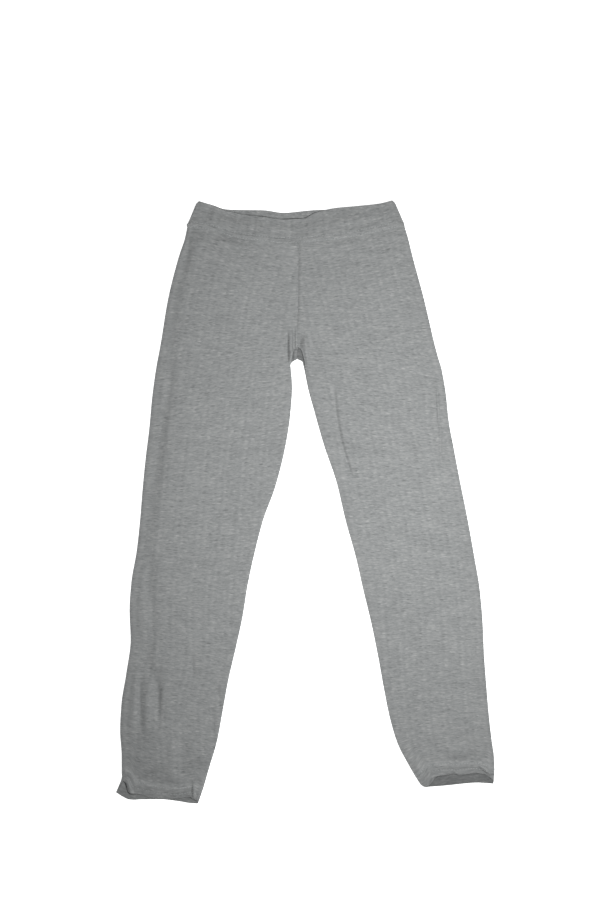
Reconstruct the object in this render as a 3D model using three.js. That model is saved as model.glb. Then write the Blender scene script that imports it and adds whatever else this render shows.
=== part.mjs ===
// Leggings laid flat on a table, front side up and waist towards +Y.
// Millimetres; z = 0 is the table, and the origin is under the middle of the outline.
// Each leg is one wrapped piece of jersey: the back layer lies on the table, the cloth turns
// round the outer side in a soft fold, and the front layer lies on the back layer.
// Right and left are the wearer's, so the right leg lies towards -X.
import * as THREE from 'three';

// Walls
const CLOTH = 1.2; // one layer of brushed jersey
const HEM_WALL = 2.4; // the jersey turned up once and stitched
const BAND_WALL = 2.8; // casing: two layers of jersey round the elastic
const SEAM_GAP = 0.3; // between two pieces where a seam joins them
const LAYER_GAP = 0.3; // least air between the back and the front layer

// How the layers lie
const LOFT = 2.0; // extra air in the middle of a leg
const LOFT_SHAPE = 0.5; // below 1 the air reaches further towards the edges
const HEM_DEPTH = 14; // height of the turned hem
const HEM_LOFT = 0.5; // the same at the hem
const HEM_CURL = 0.5; // how far the front hem stands off the back hem
const BAND_AIR = 0.6; // air inside the flattened waistband
const WAIST_FADE = 75; // length over which the front layer comes down from the waistband
const SEAM_FADE = 135; // length over which the sections lose the curve of the waist seam
const RISE_FADE = 60; // length above the hem over which its lifted edge fades out
const EDGE_CALM = 14; // strip along an edge where the folds fade out
const INNER_CALM = 0.35; // share of the folds left at the inner edge, before smoothing
const CROTCH_ROW = 6; // section at the crotch: above it the centre seam joins the legs
const CROTCH_FADE = 2; // sections below it over which the inner edge grows calm
const FOLD_START = 26; // and below the waist seam
const HEM_STEP = 0.07; // share of the last section in which the wall doubles

// Mesh density
const BACK_STEPS = 7;
const TURN_STEPS = 5;
const FRONT_STEPS = 24;
const BAND_BACK_STEPS = 14;
const BAND_FRONT_STEPS = 36;
const BAND_TURN_STEPS = 4;

const table = (columns, rows) =>
  rows.map((row) => Object.fromEntries(columns.map((name, k) => [name, row[k]])));

// A row for each section, from the waist seam to the hem. Outer is the folded side edge, and
// inner the centre seam and then the inseam. Reach is how far the back's cloth shows past the
// front's inseam under the crotch.
const SECTION_COLUMNS = ['outerX', 'outerY', 'innerX', 'innerY', 'reach'];
const RIGHT_SECTIONS = table(SECTION_COLUMNS, [
  [-135.2, 318.3, -6.9, 299.7, 0],
  [-137.9, 303.0, -7.2, 284.0, 0],
  [-145.4, 280.6, -7.4, 267.0, 0],
  [-157.7, 232.5, -8.1, 226.5, 0],
  [-165.5, 185.0, -8.9, 180.5, 0],
  [-168.3, 169.5, -12.7, 175.0, 3.7],
  [-170.3, 159.2, -15.3, 164.6, 6.3],
  [-171.1, 154.3, -15.9, 161.4, 1.9],
  [-172.0, 149.0, -16.6, 157.0, 0],
  [-176.0, 118.5, -14.8, 132.0, 0],
  [-179.1, 85.0, -17.2, 98.0, 0],
  [-183.3, 50.5, -23.2, 61.0, 0],
  [-186.8, 15.0, -34.0, 18.0, 0],
  [-189.8, -21.5, -48.0, -20.5, 0],
  [-193.6, -56.0, -57.6, -57.0, 0],
  [-199.7, -92.0, -65.9, -95.5, 0],
  [-201.8, -124.0, -71.8, -132.0, 0],
  [-200.6, -158.0, -79.6, -168.0, 0],
  [-205.5, -196.0, -88.0, -204.0, 0],
  [-211.2, -232.0, -94.6, -240.0, 0],
  [-212.7, -262.0, -100.9, -274.0, 0],
  [-211.0, -294.0, -110.6, -307.0, 0],
  [-210.9, -317.8, -117.6, -331.2, 0],
  [-219.6, -333.4, -123.0, -346.6, 0],
]);
const LEFT_SECTIONS = table(SECTION_COLUMNS, [
  [113.4, 319.2, -7.1, 299.7, 0],
  [118.4, 302.0, -7.4, 284.0, 0],
  [123.8, 280.6, -7.8, 267.0, 0],
  [136.9, 232.5, -8.5, 226.5, 0],
  [148.0, 185.0, -9.1, 180.5, 0],
  [151.9, 170.0, -4.8, 175.0, 4.2],
  [154.8, 160.0, -1.6, 164.6, 7.4],
  [156.2, 155.8, -0.9, 161.4, 2.6],
  [157.3, 151.0, -0.3, 157.0, 1.8],
  [161.8, 125.0, 3.2, 133.0, 0.4],
  [165.2, 93.0, 11.7, 100.0, 0],
  [171.1, 61.0, 21.7, 65.0, 0],
  [178.4, 22.5, 36.0, 23.0, 0],
  [187.0, -20.5, 46.3, -20.5, 0],
  [194.6, -63.0, 58.4, -64.0, 0],
  [200.6, -99.0, 66.8, -101.0, 0],
  [204.1, -138.0, 76.4, -141.0, 0],
  [205.8, -176.0, 84.0, -178.5, 0],
  [208.4, -210.5, 90.3, -213.5, 0],
  [211.3, -245.0, 97.3, -248.0, 0],
  [214.6, -275.0, 106.4, -278.0, 0],
  [217.2, -296.0, 117.2, -299.0, 0],
  [217.4, -309.0, 125.2, -313.0, 0],
  [216.8, -323.6, 134.6, -327.6, 0],
]);
const CENTRE_LINE = { topX: -7.0, topY: 299.7, crotchX: -9.0, crotchY: 180.5 };

// Lower edge across the hem, from the outer side (0) to the inseam (1): how far the back's
// edge drops below the straight line, how far the front's edge rises above it, and how far
// the front's corner is drawn in from the back's, which leaves the back's corner as an ear.
const HEM_COLUMNS = ['across', 'backDrop', 'frontRise', 'drawnIn'];
const RIGHT_HEM = table(HEM_COLUMNS, [
  [0.0, 0.0, 14.0, 6.0],
  [0.08, 3.8, 11.6, 3.5],
  [0.17, 6.4, 1.8, 0],
  [0.3, 4.4, 1.0, 0],
  [0.45, 2.4, -0.4, 0],
  [0.65, 0.2, 0.6, 0],
  [0.8, 0.2, 3.4, 0],
  [0.9, 0.6, 6.0, 0],
  [1.0, 0.0, 3.4, 0],
]);
const LEFT_HEM = table(HEM_COLUMNS, [
  [0.0, 0.0, 3.0, 0],
  [0.14, -1.0, 10.0, 0],
  [0.28, -2.2, 12.8, 0],
  [0.5, -1.6, 11.6, 0],
  [0.58, -1.2, 13.4, 0],
  [0.74, -0.6, 11.8, 0],
  [0.84, -0.3, 9.6, 0],
  [0.91, -0.2, 1.6, 0],
  [1.0, 0.0, 0.0, 0],
]);

// Largest folds of the front layers, each along a straight stretch. Width is the half width,
// and height is above the calm cloth, or below it where it is negative.
const FOLD_COLUMNS = ['fromX', 'fromY', 'toX', 'toY', 'width', 'height'];
const FOLDS = table(FOLD_COLUMNS, [
  [-164, 172, -166, 112, 5, 1.1],
  [-182, -52, -188, -120, 6, 1.0],
  [-186, -104, -184, -168, 8, 1.5],
  [-196, -162, -199, -204, 5, 0.9],
  [-193, -190, -199, -272, 5, 1.8],
  [-180, -192, -182, -276, 5.5, 1.6],
  [-168, -186, -169, -250, 5, -1.8],
  [-152, -262, -153, -326, 6, 1.4],
  [-140, -270, -142, -318, 7, -1.4],
  [-129, -176, -129, -202, 6, -0.9],
  [-103, -236, -110, -268, 6, -1.1],
  [-130, -272, -116, -300, 8, 0.9],
  [-196, -324, -158, -304, 5, -1.0],
  [-21, 226, -18, 150, 6, 1.4],
  [-9, 216, -9, 150, 8, 1.4],
  [4, 222, 2, 160, 6, 1.0],
  [43, 152, 68, 14, 8, 1.0],
  [149, 150, 153, 80, 7, 0.9],
  [96, 58, 122, -104, 34, 1.6],
  [98, -130, 122, -262, 16, 0.9],
  [186, -20, 190, -150, 8, -1.2],
  [174, -268, 186, -276, 5, -1.0],
  [120, -292, 134, -318, 7, 2.2],
  [160, -284, 186, -290, 7, 1.4],
  [-134, 300, -139, 262, 5, -1.3],
  [-122, 280, -60, 276, 9, 0.9],
]);

// Down the wearer's right leg the outer side is pressed low, and the cloth steps up to the loft
// of the leg some way in. Inset is from the side edge to the middle of the step.
const STEP_COLUMNS = ['y', 'inset', 'rise', 'halfWidth'];
const SIDE_STEP = table(STEP_COLUMNS, [
  [318, 12, 0.8, 5],
  [278, 12, 2.3, 5],
  [241, 14, 2.0, 5.5],
  [201, 14, 2.0, 5.5],
  [165, 19, 2.2, 6],
  [138, 23, 2.6, 6],
  [94, 20, 3.0, 6.5],
  [48, 19, 3.2, 7],
  [2, 16, 3.2, 7.5],
  [-44, 15, 3.0, 8],
  [-90, 24, 2.8, 7],
  [-136, 29, 2.6, 7],
  [-176, 26, 2.8, 5.5],
  [-205, 36, 2.6, 5],
  [-228, 42, 2.6, 6],
  [-262, 32, 4.0, 16],
  [-295, 32, 4.0, 18],
  [-334, 24, 1.0, 14],
]);

// Waistband edges across its width, from the wearer's right (0) to the left (1).
const BAND_COLUMNS = ['across', 'frontTop', 'frontBottom', 'backTop', 'backBottom'];
const BAND_EDGES = table(BAND_COLUMNS, [
  [0.0, 345.6, 318.6, 345.6, 318.6],
  [0.07, 340.8, 316.2, 341.4, 315.3],
  [0.14, 334.6, 312.0, 336.4, 312.5],
  [0.22, 331.0, 306.2, 335.7, 310.0],
  [0.33, 327.8, 302.6, 335.4, 307.4],
  [0.44, 324.4, 300.4, 332.4, 306.0],
  [0.54, 326.0, 300.6, 334.4, 305.8],
  [0.6, 332.2, 302.2, 335.6, 306.2],
  [0.7, 337.6, 304.6, 336.4, 307.6],
  [0.82, 340.2, 309.8, 338.9, 311.4],
  [0.93, 342.8, 315.6, 341.8, 316.2],
  [1.0, 346.4, 319.5, 346.4, 319.5],
]);
const BAND_SIDES = { topRight: -125.0, topLeft: 103.2, bottomRight: -135.6, bottomLeft: 114.2 };
const BAND_CORNER_DROP = 2.4; // rounding of the top corners
// Outline of the casing's section: along its height, and out from its middle in half walls.
const CASING_SECTION = table(['along', 'out'], [
  [0.0, 0.8],
  [0.05, 1.0],
  [0.5, 1.0],
  [0.93, 1.0],
  [1.0, 0.45],
  [1.0, -0.45],
  [0.93, -1.0],
  [0.5, -1.0],
  [0.05, -1.0],
  [0.0, -0.8],
]);
// Waves that the elastic gathers into the front of the casing.
const GATHERS = table(['across', 'width', 'height'], [
  [0.1, 0.03, 0.5],
  [0.19, 0.025, -0.4],
  [0.27, 0.03, 0.5],
  [0.36, 0.025, -0.35],
  [0.47, 0.035, -0.4],
  [0.56, 0.025, 0.5],
  [0.65, 0.03, -0.4],
  [0.74, 0.03, 0.5],
  [0.84, 0.025, -0.4],
  [0.92, 0.03, 0.4],
]);

const lerp = THREE.MathUtils.lerp;
const clamp = THREE.MathUtils.clamp;
const smooth = (t) => THREE.MathUtils.smoothstep(t, 0, 1);

// Monotone cubic through the values at the places, so that it never overshoots a row.
function curve(places, values) {
  const last = places.length - 1;
  const rises = values.slice(1).map((v, k) => (v - values[k]) / (places[k + 1] - places[k]));
  const slopes = values.map((_, k) => {
    if (k === 0) return rises[0];
    if (k === last) return rises[last - 1];
    const product = rises[k - 1] * rises[k];
    return product <= 0 ? 0 : (2 * product) / (rises[k - 1] + rises[k]);
  });
  return (at) => {
    const x = clamp(at, places[0], places[last]);
    const k = Math.min(last - 1, Math.max(0, places.findIndex((p) => p > x) - 1));
    const cell = x >= places[last] ? last - 1 : k;
    const span = places[cell + 1] - places[cell];
    const t = (x - places[cell]) / span;
    const t2 = t * t;
    const t3 = t2 * t;
    return (
      (2 * t3 - 3 * t2 + 1) * values[cell] +
      (t3 - 2 * t2 + t) * span * slopes[cell] +
      (3 * t2 - 2 * t3) * values[cell + 1] +
      (t3 - t2) * span * slopes[cell + 1]
    );
  };
}

// One curve for each named column, over the row's number or over the column named by place.
function curves(rows, place) {
  const places = rows.map((row, k) => (place ? row[place] : k));
  const names = Object.keys(rows[0]);
  return Object.fromEntries(names.map((n) => [n, curve(places, rows.map((row) => row[n]))]));
}

// A closed solid from a grid of points: cell(row, column) gives the wall's two faces.
// Wrapped grids close on themselves along the columns and need no side rims.
function wallGeometry(rows, columns, cell, flip) {
  const positions = [];
  const indices = [];
  const outer = (i, j) => 2 * (i * columns + j);
  const inner = (i, j) => outer(i, j) + 1;
  for (let i = 0; i < rows; i += 1) {
    for (let j = 0; j < columns; j += 1) {
      const { out, within } = cell(i, j);
      positions.push(out.x, out.y, out.z, within.x, within.y, within.z);
    }
  }
  const quad = (a, b, c, d) => {
    const corners = flip ? [a, c, b, b, c, d] : [a, b, c, b, d, c];
    indices.push(...corners);
  };
  for (let i = 0; i < rows - 1; i += 1) {
    for (let j = 0; j < columns - 1; j += 1) {
      quad(outer(i, j), outer(i, j + 1), outer(i + 1, j), outer(i + 1, j + 1));
      quad(inner(i, j), inner(i + 1, j), inner(i, j + 1), inner(i + 1, j + 1));
    }
  }
  for (let j = 0; j < columns - 1; j += 1) {
    quad(outer(0, j), inner(0, j), outer(0, j + 1), inner(0, j + 1));
    quad(outer(rows - 1, j), outer(rows - 1, j + 1), inner(rows - 1, j), inner(rows - 1, j + 1));
  }
  for (let i = 0; i < rows - 1; i += 1) {
    quad(outer(i, 0), outer(i + 1, 0), inner(i, 0), inner(i + 1, 0));
    quad(
      outer(i, columns - 1),
      inner(i, columns - 1),
      outer(i + 1, columns - 1),
      inner(i + 1, columns - 1),
    );
  }
  return meshGeometry(positions, indices);
}

function meshGeometry(positions, indices) {
  const geometry = new THREE.BufferGeometry();
  geometry.setAttribute('position', new THREE.Float32BufferAttribute(positions, 3));
  geometry.setIndex(indices);
  geometry.computeVertexNormals();
  return geometry;
}

const bandEdge = curves(BAND_EDGES, 'across');
const BAND_LIFT = BAND_WALL + BAND_AIR; // from the middle of its back to the middle of its front
const BAND_TURN = BAND_LIFT / 2 + BAND_WALL / 2; // outer radius of its side folds

// How far across the waistband's lower edge a point lies.
function acrossBand(x) {
  const from = BAND_SIDES.bottomRight + BAND_TURN;
  const to = BAND_SIDES.bottomLeft - BAND_TURN;
  return clamp((x - from) / (to - from), 0, 1);
}

function centreX(y) {
  const t = (CENTRE_LINE.topY - y) / (CENTRE_LINE.topY - CENTRE_LINE.crotchY);
  return lerp(CENTRE_LINE.topX, CENTRE_LINE.crotchX, clamp(t, 0, 1));
}

// Height that the folds add at a point: each is a bell across its line, and fades at its ends.
function foldHeight(x, y) {
  return FOLDS.reduce((sum, fold) => {
    const alongX = fold.toX - fold.fromX;
    const alongY = fold.toY - fold.fromY;
    const length = Math.hypot(alongX, alongY);
    const t = ((x - fold.fromX) * alongX + (y - fold.fromY) * alongY) / length ** 2;
    if (t <= 0 || t >= 1) return sum;
    const aside = ((x - fold.fromX) * alongY - (y - fold.fromY) * alongX) / length;
    return sum + fold.height * Math.exp(-((aside / fold.width) ** 2)) * (1 - (2 * t - 1) ** 4);
  }, 0);
}

const stepAt = curves([...SIDE_STEP].reverse(), 'y');

// Height that the side step adds: it rises across the step, and falls off evenly inwards.
function sideStep(y, inward, width) {
  const from = stepAt.inset(y) - stepAt.halfWidth(y);
  const to = stepAt.inset(y) + stepAt.halfWidth(y);
  const up = smooth((inward - from) / (to - from));
  return stepAt.rise(y) * up * (1 - smooth((inward - to) / (width - to)));
}

// side is +1 for the leg whose outer edge lies towards +X, and -1 for the other.
function legGeometry(sections, hemEdge, side) {
  const last = sections.length - 1;
  const section = curves(sections);
  const hem = curves(hemEdge, 'across');
  const waistY = sections[0].outerY;
  const hemY = sections[last].outerY;
  const hemTop = last - 1;

  const stations = [];
  for (let k = 0; k < hemTop; k += 1) stations.push(k, k + 0.5);
  stations.push(hemTop, hemTop + HEM_STEP, hemTop + 0.5, last);

  const wallAt = (at) => lerp(CLOTH, HEM_WALL, clamp((at - hemTop) / HEM_STEP, 0, 1));

  // Distance between the middles of the two layers, before the folds.
  const liftAt = (at, across) => {
    const y = section.outerY(at);
    const wall = wallAt(at);
    const nearHem = smooth(1 - (y - hemY) / (2 * HEM_DEPTH));
    const loft = lerp(LOFT, HEM_LOFT, nearHem) * Math.sin(Math.PI * across) ** LOFT_SHAPE;
    const calm = wall + 2 * LAYER_GAP + loft;
    const down = smooth((waistY - y) / WAIST_FADE);
    const curl = HEM_CURL * nearHem;
    const middle = (BAND_WALL - CLOTH) / 2 + BAND_LIFT;
    return lerp(middle, calm, down) + curl;
  };

  // Point of the cloth's middle at a station: layer is -1 for the back, +1 for the front.
  const layPoint = (at, layer, across) => {
    const wall = wallAt(at);
    const lift = liftAt(at, 0);
    const turn = (lift + wall) / 2;
    const outerX = section.outerX(at);
    const outerY = section.outerY(at);
    const reach = layer < 0 ? section.reach(at) : 0;
    const innerX = section.innerX(at) - side * reach;
    const innerY = section.innerY(at);
    const width = side * (outerX - innerX);
    const inward = lerp(turn, width, across);
    let x = outerX - side * inward;
    let y = lerp(outerY, innerY, inward / width);

    const seam = layer > 0 ? bandEdge.frontBottom : bandEdge.backBottom;
    const straight = lerp(sections[0].outerY, sections[0].innerY, inward / width);
    const follow = seam(acrossBand(x)) - SEAM_GAP - straight;
    y += follow * Math.max(0, 1 - (waistY - outerY) / SEAM_FADE) ** 2;

    const fromHem = section.outerY(at) - hemY;
    const fade = 1 - smooth((fromHem - HEM_DEPTH) / RISE_FADE);
    y += fade * (layer > 0 ? hem.frontRise(across) : -hem.backDrop(across));
    if (layer > 0) x -= side * hem.drawnIn(across) * clamp(at - hemTop, 0, 1);

    const limit = centreX(y) + (side * SEAM_GAP) / 2;
    x = side > 0 ? Math.max(x, limit) : Math.min(x, limit);

    if (layer < 0) return new THREE.Vector3(x, y, wall / 2);
    const open = smooth((at - CROTCH_ROW) / CROTCH_FADE);
    const nearInner = smooth((width - inward) / EDGE_CALM + INNER_CALM);
    const calm = smooth(inward / EDGE_CALM) * lerp(1, nearInner, open);
    const step = side < 0 ? sideStep(y, inward, width) : 0;
    const folded = (foldHeight(x, y) * calm + step) * smooth((waistY - outerY) / FOLD_START);
    const height = Math.max(liftAt(at, across) + folded, wall + LAYER_GAP);
    return new THREE.Vector3(x, y, wall / 2 + height);
  };

  const columns = [];
  for (let k = 0; k <= BACK_STEPS; k += 1) columns.push({ layer: -1, across: 1 - k / BACK_STEPS });
  for (let k = 1; k < TURN_STEPS; k += 1) columns.push({ layer: 0, turned: k / TURN_STEPS });
  for (let k = 0; k <= FRONT_STEPS; k += 1) columns.push({ layer: 1, across: k / FRONT_STEPS });

  const cell = (i, j) => {
    const at = stations[i];
    const wall = wallAt(at);
    const { layer, across, turned } = columns[j];
    let middle = null;
    let outward = new THREE.Vector3(0, 0, layer);
    if (layer !== 0) {
      middle = layPoint(at, layer, across);
    } else {
      const low = layPoint(at, -1, 0);
      const high = layPoint(at, 1, 0);
      const angle = Math.PI * (turned - 0.5);
      const radius = (high.z - low.z) / 2;
      outward = new THREE.Vector3(side * Math.cos(angle), 0, Math.sin(angle));
      middle = new THREE.Vector3().lerpVectors(low, high, turned);
      middle.x += outward.x * radius;
      middle.z = low.z + radius + outward.z * radius;
    }
    return {
      out: middle.clone().addScaledVector(outward, wall / 2),
      within: middle.clone().addScaledVector(outward, -wall / 2),
    };
  };
  return wallGeometry(stations.length, columns.length, cell, side < 0);
}

// The casing goes once round: front from right to left, left fold, back, right fold.
function waistbandGeometry() {
  const loop = [];
  for (let k = 0; k < BAND_FRONT_STEPS; k += 1) loop.push({ face: 1, across: k / BAND_FRONT_STEPS });
  for (let k = 0; k < BAND_TURN_STEPS; k += 1) loop.push({ end: 1, turned: k / BAND_TURN_STEPS });
  for (let k = 0; k < BAND_BACK_STEPS; k += 1) {
    loop.push({ face: -1, across: 1 - k / BAND_BACK_STEPS });
  }
  for (let k = 0; k < BAND_TURN_STEPS; k += 1) loop.push({ end: -1, turned: k / BAND_TURN_STEPS });

  const low = BAND_WALL / 2;
  const place = ({ face, across, end, turned }, along, out) => {
    const right = lerp(BAND_SIDES.bottomRight, BAND_SIDES.topRight, along) + BAND_TURN;
    const left = lerp(BAND_SIDES.bottomLeft, BAND_SIDES.topLeft, along) - BAND_TURN;
    const away = (out * BAND_WALL) / 2;
    if (face) {
      const bottom = face > 0 ? bandEdge.frontBottom(across) : bandEdge.backBottom(across);
      const top = face > 0 ? bandEdge.frontTop(across) : bandEdge.backTop(across);
      const waves = GATHERS.reduce(
        (sum, g) => sum + g.height * Math.exp(-(((across - g.across) / g.width) ** 2)),
        0,
      );
      const z = face > 0 ? low + BAND_LIFT + Math.max(waves, 0) + away : low - away;
      return [lerp(right, left, across), lerp(bottom, top, along), z];
    }
    const angle = end > 0 ? Math.PI * (0.5 - turned) : Math.PI * (-0.5 - turned);
    const radius = BAND_LIFT / 2 + away;
    const row = BAND_EDGES[end > 0 ? BAND_EDGES.length - 1 : 0];
    const drop = BAND_CORNER_DROP * Math.abs(Math.cos(angle)) * along ** 4;
    return [
      (end > 0 ? left : right) + radius * Math.cos(angle),
      lerp(row.frontBottom, row.frontTop, along) - drop,
      low + BAND_LIFT / 2 + radius * Math.sin(angle),
    ];
  };

  const positions = [];
  const indices = [];
  const around = loop.length;
  const across = CASING_SECTION.length;
  loop.forEach((step) => {
    CASING_SECTION.forEach(({ along, out }) => positions.push(...place(step, along, out)));
  });
  for (let i = 0; i < around; i += 1) {
    for (let j = 0; j < across; j += 1) {
      const a = i * across + j;
      const b = i * across + ((j + 1) % across);
      const c = ((i + 1) % around) * across + j;
      const d = ((i + 1) % around) * across + ((j + 1) % across);
      indices.push(a, c, b, b, c, d);
    }
  }
  return meshGeometry(positions, indices);
}

function jersey(name, color) {
  const material = new THREE.MeshStandardMaterial({ color, roughness: 0.95, metalness: 0 });
  material.name = name;
  return material;
}

const leggings = new THREE.Group();
leggings.name = 'leggings';

function addPiece(name, geometry, color) {
  const mesh = new THREE.Mesh(geometry, jersey(name, color));
  mesh.name = name;
  leggings.add(mesh);
}

addPiece('leg_right', legGeometry(RIGHT_SECTIONS, RIGHT_HEM, -1), 0x8f9292);
addPiece('leg_left', legGeometry(LEFT_SECTIONS, LEFT_HEM, 1), 0x959898);
addPiece('waistband', waistbandGeometry(), 0x8b8e8e);

export default leggings;
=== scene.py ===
"""Grey marl leggings laid flat, front up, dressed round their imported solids.

Every piece is a surface worked out with numpy from the sizes and tables below. Tables are in
millimetres, and everything that reaches Blender is in metres. Right and left are the wearer's.
"""
import math

import bpy
import numpy as np
from bpy.props import FloatProperty, FloatVectorProperty, PointerProperty
from bpy.types import Operator, Panel, PropertyGroup
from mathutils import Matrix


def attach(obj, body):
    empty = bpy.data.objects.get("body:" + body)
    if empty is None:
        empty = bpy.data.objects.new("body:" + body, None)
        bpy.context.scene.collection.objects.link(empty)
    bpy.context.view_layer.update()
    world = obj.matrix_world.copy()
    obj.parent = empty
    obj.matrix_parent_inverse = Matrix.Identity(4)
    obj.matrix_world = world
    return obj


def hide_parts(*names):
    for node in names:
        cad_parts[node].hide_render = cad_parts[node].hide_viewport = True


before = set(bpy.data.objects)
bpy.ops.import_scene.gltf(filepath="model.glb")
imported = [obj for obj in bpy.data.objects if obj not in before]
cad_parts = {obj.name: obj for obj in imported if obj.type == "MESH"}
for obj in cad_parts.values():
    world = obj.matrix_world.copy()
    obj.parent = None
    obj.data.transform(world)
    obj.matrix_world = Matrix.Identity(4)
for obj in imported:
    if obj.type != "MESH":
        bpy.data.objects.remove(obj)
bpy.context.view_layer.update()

bl_info = {
    "name": "Leggings laid flat",
    "version": (1, 0, 0),
    "blender": (4, 5, 0),
    "location": "3D View > Sidebar > Leggings",
    "description": "Jersey legs, elasticated casing, sewing and the stage they lie on",
    "category": "Add Mesh",
}

MM = 0.001

# A row for each section, from the waist seam to the hem. Outer is the folded side edge, and
# inner the centre seam and then the inseam. Reach is how far the back's cloth shows past the
# front's inseam.
SECTION_COLUMNS = ("outer_x", "outer_y", "inner_x", "inner_y", "reach")
RIGHT_SECTIONS = (
    (-135.2, 318.3, -6.9, 299.7, 0),
    (-137.9, 303.0, -7.2, 284.0, 0),
    (-145.4, 280.6, -7.4, 267.0, 0),
    (-157.7, 232.5, -8.1, 226.5, 0),
    (-165.5, 185.0, -8.9, 180.5, 0),
    (-168.3, 169.5, -12.7, 175.0, 3.7),
    (-170.3, 159.2, -15.3, 164.6, 6.3),
    (-171.1, 154.3, -15.9, 161.4, 1.9),
    (-172.0, 149.0, -16.6, 157.0, 0),
    (-176.0, 118.5, -14.8, 132.0, 0),
    (-179.1, 85.0, -17.2, 98.0, 0),
    (-183.3, 50.5, -23.2, 61.0, 0),
    (-186.8, 15.0, -34.0, 18.0, 0),
    (-189.8, -21.5, -48.0, -20.5, 0),
    (-193.6, -56.0, -57.6, -57.0, 0),
    (-199.7, -92.0, -65.9, -95.5, 0),
    (-201.8, -124.0, -71.8, -132.0, 0),
    (-200.6, -158.0, -79.6, -168.0, 0),
    (-205.5, -196.0, -88.0, -204.0, 0),
    (-211.2, -232.0, -94.6, -240.0, 0),
    (-212.7, -262.0, -100.9, -274.0, 0),
    (-211.0, -294.0, -110.6, -307.0, 0),
    (-210.9, -317.8, -117.6, -331.2, 0),
    (-218.4, -333.4, -123.0, -346.6, 0),
)
LEFT_SECTIONS = (
    (113.4, 319.2, -7.1, 299.7, 0),
    (118.4, 302.0, -7.4, 284.0, 0),
    (123.8, 280.6, -7.8, 267.0, 0),
    (136.9, 232.5, -8.5, 226.5, 0),
    (148.0, 185.0, -9.1, 180.5, 0),
    (151.9, 170.0, -4.8, 175.0, 4.2),
    (154.8, 160.0, -1.6, 164.6, 7.4),
    (156.2, 155.8, -0.9, 161.4, 2.6),
    (157.3, 151.0, -0.3, 157.0, 1.8),
    (161.8, 125.0, 3.2, 133.0, 0.4),
    (165.2, 93.0, 11.7, 100.0, 0),
    (171.1, 61.0, 21.7, 65.0, 0),
    (178.4, 22.5, 36.0, 23.0, 0),
    (187.0, -20.5, 46.3, -20.5, 0),
    (194.6, -63.0, 58.4, -64.0, 0),
    (200.6, -99.0, 66.8, -101.0, 0),
    (204.1, -138.0, 76.4, -141.0, 0),
    (205.8, -176.0, 84.0, -178.5, 0),
    (208.4, -210.5, 90.3, -213.5, 0),
    (211.3, -245.0, 97.3, -248.0, 0),
    (214.6, -275.0, 106.4, -278.0, 0),
    (217.2, -296.0, 117.2, -299.0, 0),
    (217.4, -309.0, 125.2, -313.0, 0),
    (216.8, -323.6, 134.6, -327.6, 0),
)
CENTRE_TOP = (-7.0, 299.7)
CENTRE_CROTCH = (-9.0, 180.5)
SPLIT_ROW = 4  # row of the sections below which the front's inseams part
SPLIT_START = 0.2  # rows below it where the fronts' edges start to turn down
INSEAM_ROW = 6.2  # row below which each inseam joins its front to its back
TURN_ROWS = 0.7  # rows that either turn takes
CENTRE_FADE = 0.5  # rows above the split over which the centre seam's relief ends
CROTCH_ROW = 6  # row below which the folds calm down towards the inseam
CALM_ROWS = 2  # and the rows over which that calm begins

# Lower edge across the hem, from the outer side (0) to the inseam (1): how far the back
# hangs below the section's line, the front rises above it and is drawn in.
HEM_COLUMNS = ("across", "back_drop", "front_rise", "drawn_in")
RIGHT_HEM = (
    (0.0, 0.0, 13.0, 8.2),
    (0.08, 3.8, 11.4, 4.4),
    (0.17, 6.4, 1.8, 0),
    (0.3, 4.4, 1.0, 0),
    (0.45, 2.4, -0.4, 0),
    (0.65, 0.2, 0.6, 0),
    (0.8, 0.2, 3.4, 0),
    (0.9, 0.6, 6.0, 0),
    (1.0, 0.0, 3.4, 0),
)
LEFT_HEM = (
    (0.0, 0.0, 4.6, 0),
    (0.1, -1.0, 10.2, 0),
    (0.28, -2.2, 12.8, 0),
    (0.5, -1.6, 11.6, 0),
    (0.58, -1.2, 13.4, 0),
    (0.74, -0.6, 12.2, 0),
    (0.86, -0.3, 11.4, 0),
    (0.955, -0.2, 3.0, 0),
    (1.0, 0.0, 0.0, 0),
)

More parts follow.
